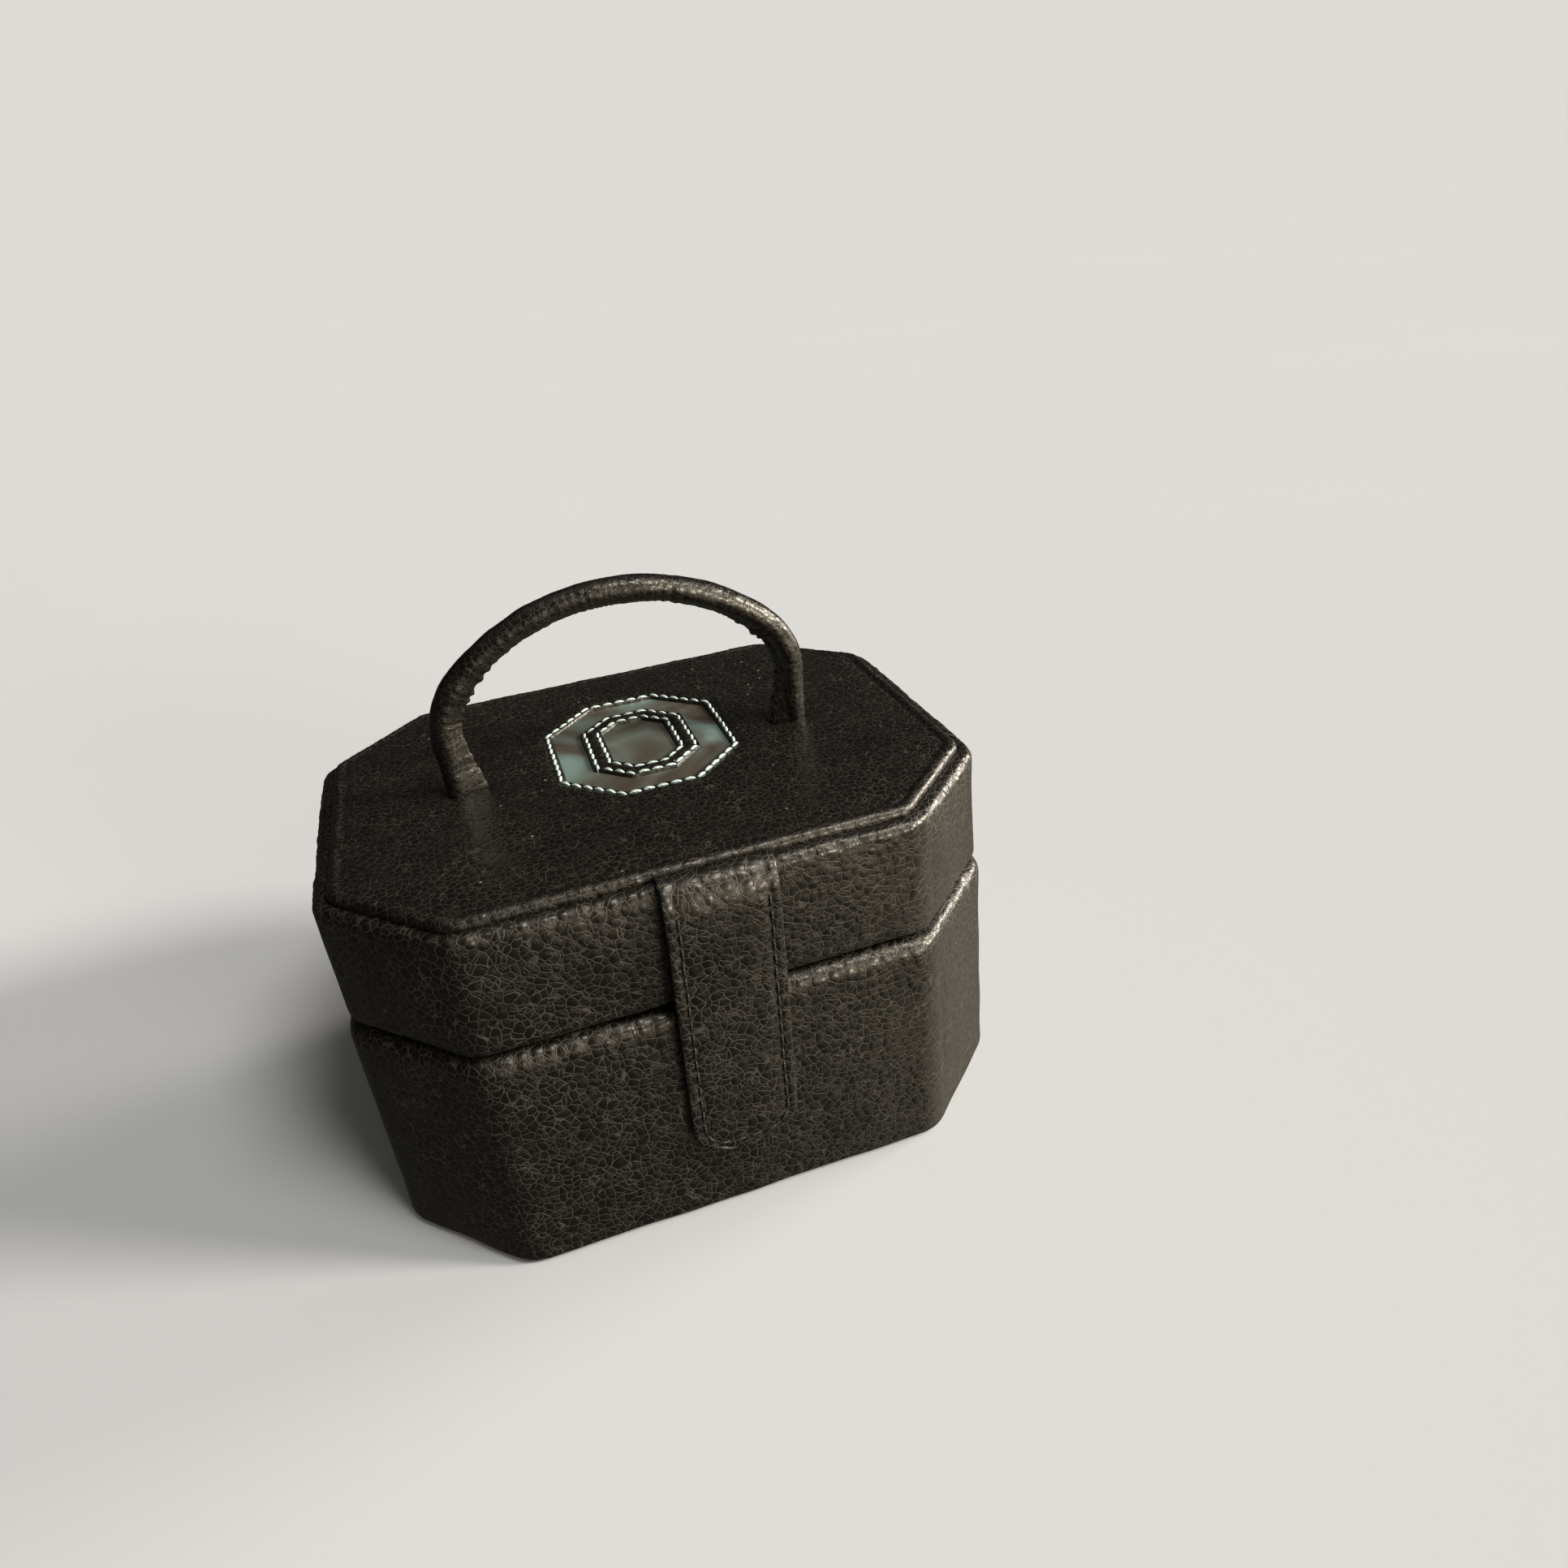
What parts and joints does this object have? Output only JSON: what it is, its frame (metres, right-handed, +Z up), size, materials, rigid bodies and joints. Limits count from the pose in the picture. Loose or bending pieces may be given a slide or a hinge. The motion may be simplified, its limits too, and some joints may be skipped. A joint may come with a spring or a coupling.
{
  "type": "jewelry box",
  "caption": "Eight-sided padded leather jewelry case with a hinged lid, a standing carrying handle, a magnetic clasp tab, a mirror and velvet compartments.",
  "frame": {"origin": "under the middle of the box, on the surface it stands on", "axes": "+X along the long side to the viewer's right, -Y to the front with the clasp tab, +Z up"},
  "size_m": [0.108, 0.0885, 0.0969],
  "materials": {
    "leather_black": "satin",
    "velvet_lining": "matte",
    "greyboard": "matte",
    "padding_foam": "matte",
    "bottom_sheet": "matte",
    "motif_foil": "polished",
    "thread_pale": "satin",
    "thread_black": "satin",
    "mirror_glass": "polished",
    "magnet_steel": "satin",
    "tab_liner": "matte",
    "cord_filler": "matte"
  },
  "bodies": {
    "base": {"base_bottom_board": "greyboard", "base_bottom_cover": "bottom_sheet", "base_lining": "velvet_lining", "base_magnet": "magnet_steel", "base_wall_board": "greyboard", "base_wall_cover": "leather_black", "base_wall_foam": "padding_foam", "collar_board": "greyboard", "cross_divider": "velvet_lining", "floor_pad": "velvet_lining", "hinge_base_leaf": "leather_black", "long_divider": "velvet_lining", "ring_roll_1": "velvet_lining", "ring_roll_2": "velvet_lining", "ring_roll_3": "velvet_lining", "ring_roll_4": "velvet_lining"},
    "lid": {"handle_anchor_left": "leather_black", "handle_anchor_right": "leather_black", "hinge_lid_leaf": "leather_black", "lid_ceiling_pad": "velvet_lining", "lid_lining": "velvet_lining", "lid_panel_board": "greyboard", "lid_panel_cover": "leather_black", "lid_panel_foam": "padding_foam", "lid_top_board": "greyboard", "lid_wall_board": "greyboard", "lid_wall_cover": "leather_black", "lid_wall_foam": "padding_foam", "mirror": "mirror_glass", "motif_centre_foil": "motif_foil", "motif_frame_foil": "motif_foil", "motif_ring": "leather_black", "motif_stitching": "thread_pale", "tab_root": "leather_black"},
    "handle": {"handle_core": "cord_filler", "handle_cover": "leather_black", "handle_end_left": "leather_black", "handle_end_right": "leather_black", "handle_seam": "leather_black"},
    "tab": {"tab_back_leather": "leather_black", "tab_filler": "tab_liner", "tab_front_leather": "leather_black", "tab_magnet": "magnet_steel", "tab_stitching": "thread_black"}
  },
  "joints": [
    {"name": "lid_hinge", "type": "hinge", "parent": "base", "child": "lid", "pos_m": [0, 0.0431, 0.0425], "axis": [-1, 0, 0], "range_deg": [0, 100]},
    {"name": "handle_tilt", "type": "hinge", "parent": "lid", "child": "handle", "pos_m": [0, 0, 0.0671], "axis": [1, 0, 0], "range_deg": [-45, 45], "stiffness_Nm_per_rad": 0.02},
    {"name": "tab_lift", "type": "hinge", "parent": "lid", "child": "tab", "pos_m": [0.0025, -0.0436, 0.061], "axis": [-1, 0, 0], "range_deg": [0, 85]}
  ]
}
